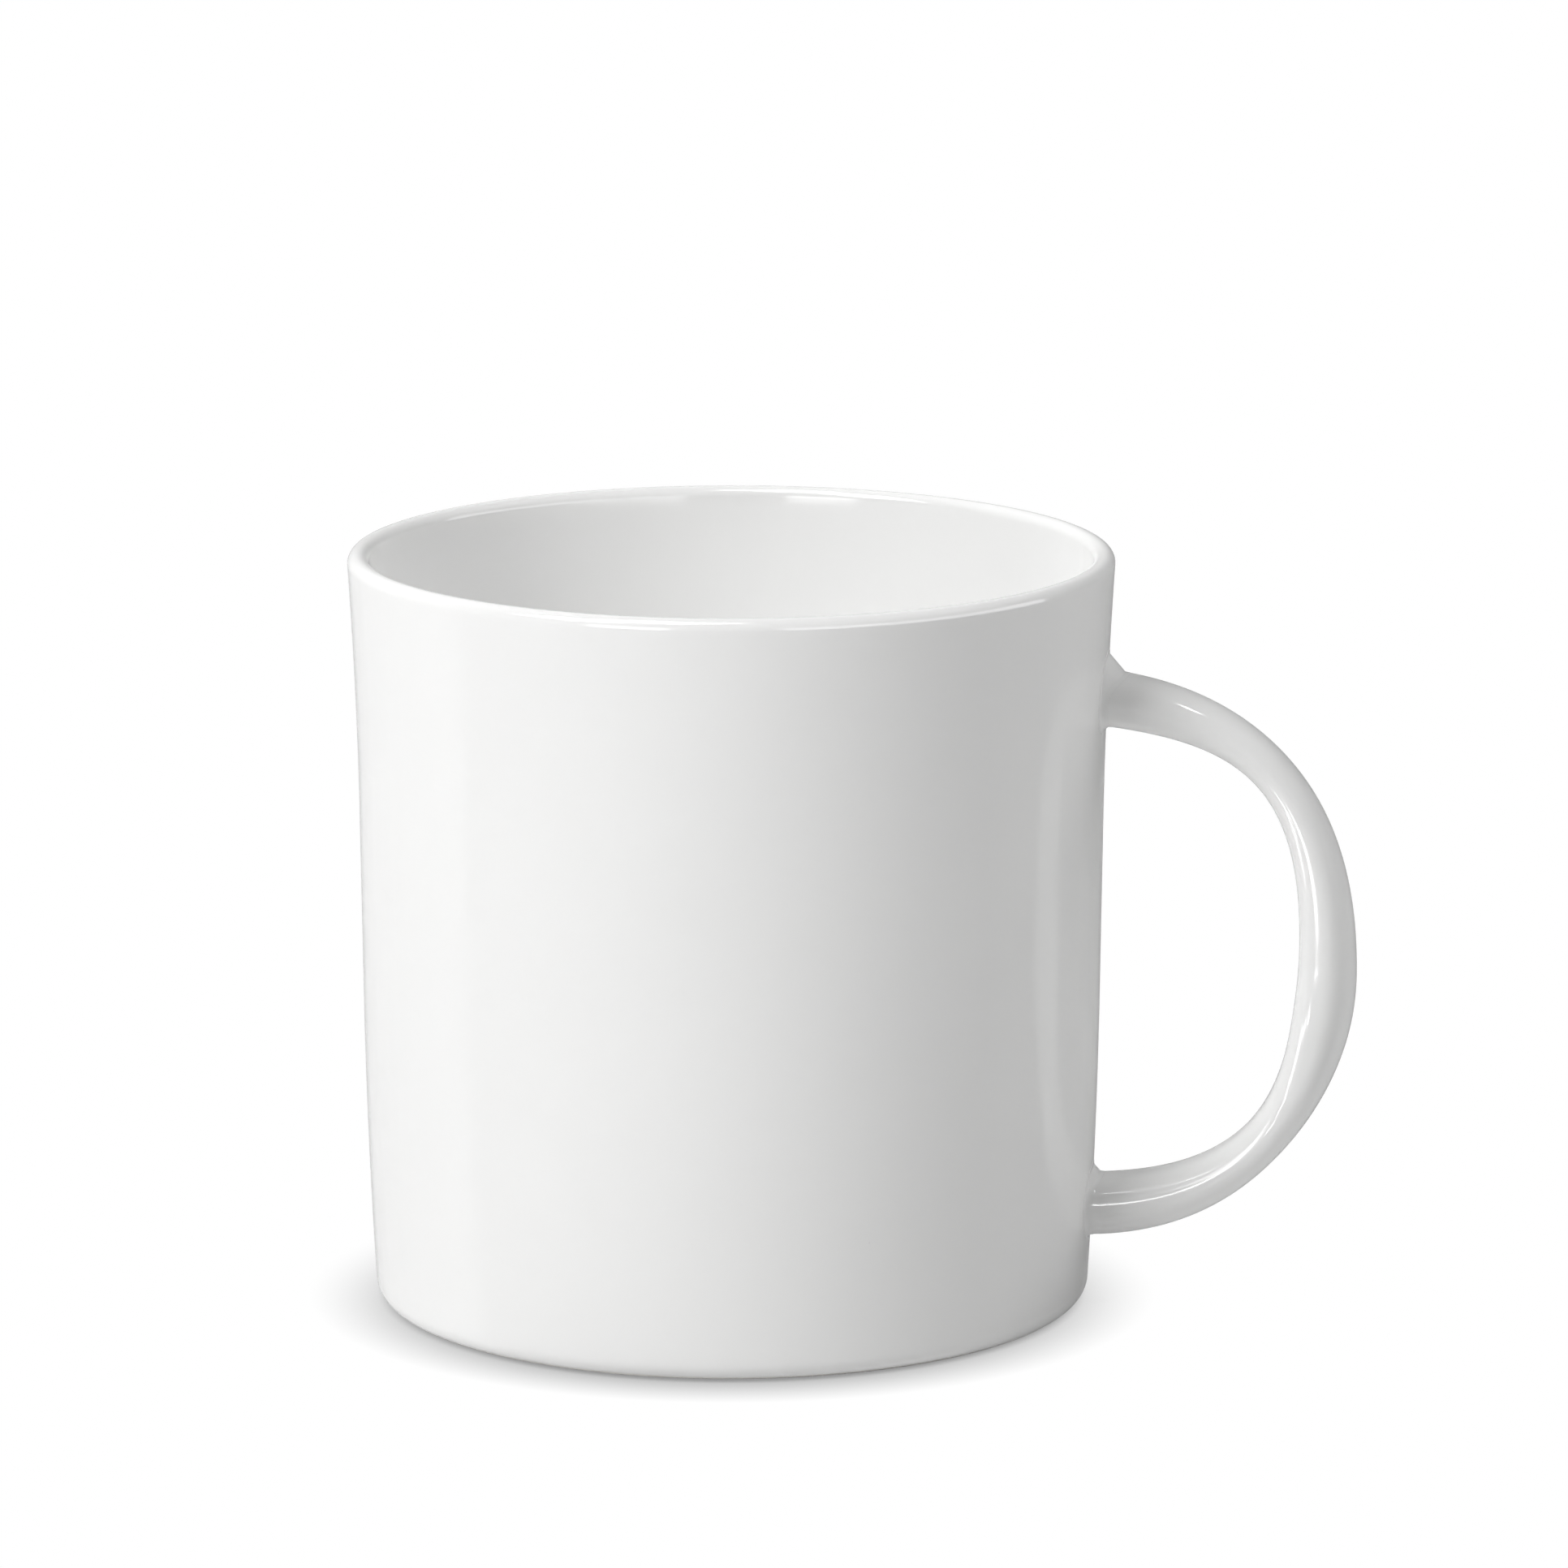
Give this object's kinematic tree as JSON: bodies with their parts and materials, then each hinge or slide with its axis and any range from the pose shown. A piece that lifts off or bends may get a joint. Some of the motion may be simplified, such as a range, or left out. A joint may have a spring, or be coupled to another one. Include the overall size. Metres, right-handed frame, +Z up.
{
  "type": "ceramic mug",
  "caption": "Plain white glazed porcelain mug, near-cylindrical with a thin rounded lip, a low foot ring and a D-shaped loop handle luted to the wall.",
  "frame": {"origin": "on the cup's axis, at the table plane under the foot ring", "axes": "+Z up along the cup's axis, +X towards the handle, which lies in the XZ plane"},
  "size_m": [0.113, 0.0854, 0.085],
  "materials": {
    "glazed_porcelain": "clear glossy glaze over white porcelain; the standing ring is left unglazed",
    "glazed_slip": "white clay slip worked smooth, under the same clear glossy glaze"
  },
  "bodies": {
    "root": {"cup_body": "glazed_porcelain", "handle": "glazed_porcelain", "upper_luted_joint": "glazed_slip", "lower_luted_joint": "glazed_slip"}
  },
  "joints": []
}
